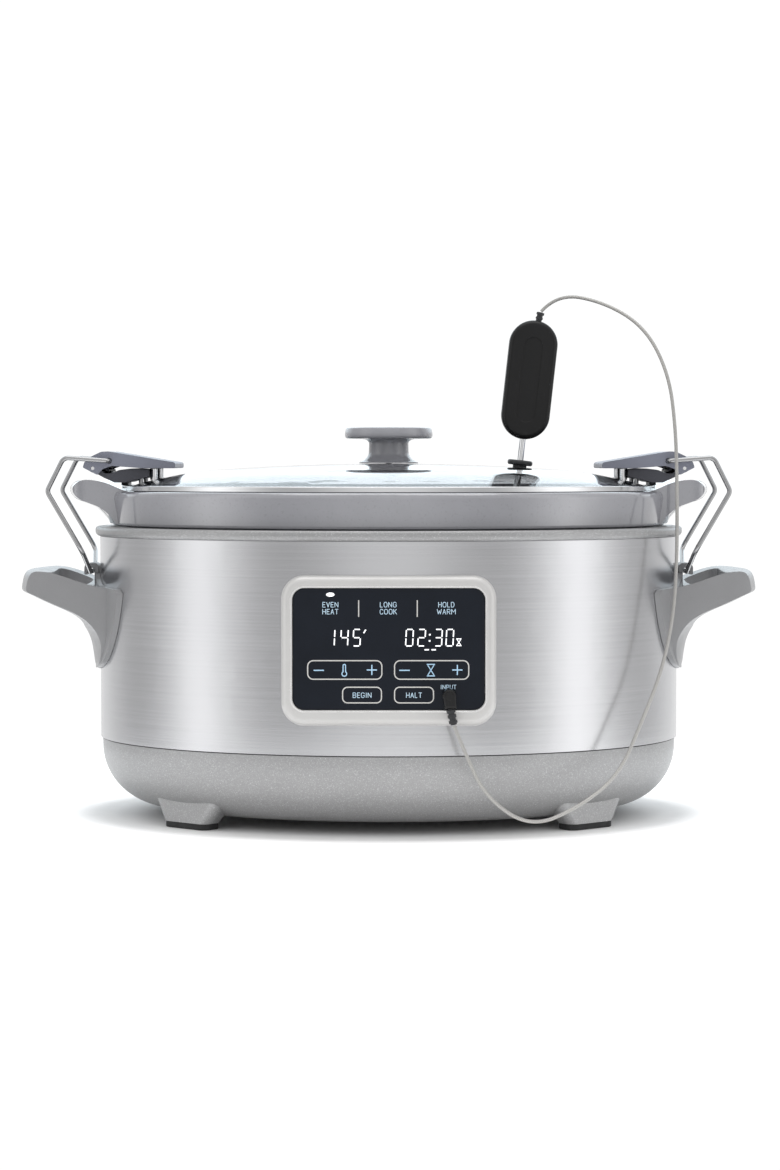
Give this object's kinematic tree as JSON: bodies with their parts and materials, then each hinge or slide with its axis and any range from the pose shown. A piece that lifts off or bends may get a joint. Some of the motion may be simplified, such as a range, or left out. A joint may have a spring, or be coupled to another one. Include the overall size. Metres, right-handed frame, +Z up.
{
  "type": "slow cooker",
  "caption": "Oval countertop slow cooker: brushed band housing with digital panel, lift-out stoneware pot, latched glass lid and a corded food probe.",
  "frame": {"origin": "centre of the oval body on the table, at the underside of the rubber feet", "axes": "+Z up, +X to the user's right along the long axis through both handles, -Y towards the user and the control panel"},
  "size_m": [0.4708, 0.304, 0.3332],
  "materials": {
    "brushed_band": "horizontally brushed stainless steel",
    "sparkle_paint": "fine metallic silver paint",
    "black_rubber": "matte moulded rubber",
    "liner_metal": "plain spun sheet",
    "heater_wrap": "woven glass-fibre heater wrap",
    "fastener": "plated",
    "circuit_board": "green board with components",
    "black_plastic": "fine satin moulding",
    "bezel_paint": "satin warm silver",
    "panel_gloss": "gloss black window",
    "handle_plastic": "satin mid grey moulding",
    "steel_braid": "fine stainless braid",
    "glazed_stoneware": "gloss fired glaze on stoneware",
    "lid_glass": "clear tempered glass",
    "polished_steel": "polished stainless steel",
    "grey_silicone": "soft silicone",
    "knob_plastic": "satin grey moulding",
    "latch_dark": "dark grey moulding",
    "latch_plastic": "satin grey moulding"
  },
  "bodies": {
    "housing": {"outer_band": "brushed_band", "top_rim": "sparkle_paint", "base_pan": "sparkle_paint", "foot_pads": "black_rubber", "heating_liner": "liner_metal", "heater_band": "heater_wrap", "tie_screws": "fastener", "thermistor": "liner_metal", "power_board": "circuit_board", "thermal_fuse": "fastener", "mains_bushing": "black_plastic", "control_bezel": "bezel_paint", "control_glass": "panel_gloss", "display_module": "black_plastic", "control_pcb": "circuit_board", "control_housing": "black_plastic", "probe_socket": "fastener", "handle_right": "handle_plastic", "handle_left": "handle_plastic", "handle_screws": "fastener", "hook_right": "handle_plastic", "hook_left": "handle_plastic", "probe_cord": "steel_braid"},
    "pot": {"stoneware_pot": "glazed_stoneware"},
    "lid": {"lid_glass": "lid_glass", "lid_ring": "polished_steel", "lid_gasket": "grey_silicone", "lid_knob": "knob_plastic", "knob_screw": "fastener", "knob_washer": "grey_silicone", "probe_grommet": "black_rubber", "latch_bracket_right": "latch_dark", "latch_bracket_left": "latch_dark", "latch_screws": "fastener", "latch_studs": "polished_steel", "lever_pins": "fastener"},
    "lever_r": {"lever_right": "latch_plastic"},
    "lever_l": {"lever_left": "latch_plastic"},
    "bail_r": {"bail_right": "polished_steel"},
    "bail_l": {"bail_left": "polished_steel"},
    "probe": {"probe_rod": "polished_steel", "probe_handle_front": "black_plastic", "probe_handle_back": "black_plastic", "probe_relief": "black_rubber"},
    "plug": {"probe_plug": "black_plastic", "plug_pin": "fastener", "plug_relief": "black_rubber"}
  },
  "joints": [
    {"name": "pot_lift", "type": "slide", "parent": "housing", "child": "pot", "axis": [0, 0, 1], "range_m": [0, 0.16]},
    {"name": "lid_lift", "type": "slide", "parent": "pot", "child": "lid", "axis": [0, 0, 1], "range_m": [0, 0.14], "deforming": ["probe_cord"]},
    {"name": "lever_turn_right", "type": "hinge", "parent": "lid", "child": "lever_r", "pos_m": [0.1869, 0, 0.2219], "axis": [0, 1, 0], "range_deg": [0, 100]},
    {"name": "lever_turn_left", "type": "hinge", "parent": "lid", "child": "lever_l", "pos_m": [-0.1869, 0, 0.2219], "axis": [0, -1, 0], "range_deg": [0, 100]},
    {"name": "bail_swing_right", "type": "hinge", "parent": "housing", "child": "bail_r", "pos_m": [0.1909, 0, 0.1557], "axis": [0, 1, 0], "range_deg": [0, 50]},
    {"name": "bail_swing_left", "type": "hinge", "parent": "housing", "child": "bail_l", "pos_m": [-0.1909, 0, 0.1557], "axis": [0, -1, 0], "range_deg": [0, 50]},
    {"name": "probe_pull", "type": "slide", "parent": "lid", "child": "probe", "axis": [0.1093, 0, 0.994], "range_m": [0, 0.125]},
    {"name": "plug_pull", "type": "slide", "parent": "housing", "child": "plug", "axis": [0, -1, 0], "range_m": [0, 0.018]}
  ]
}
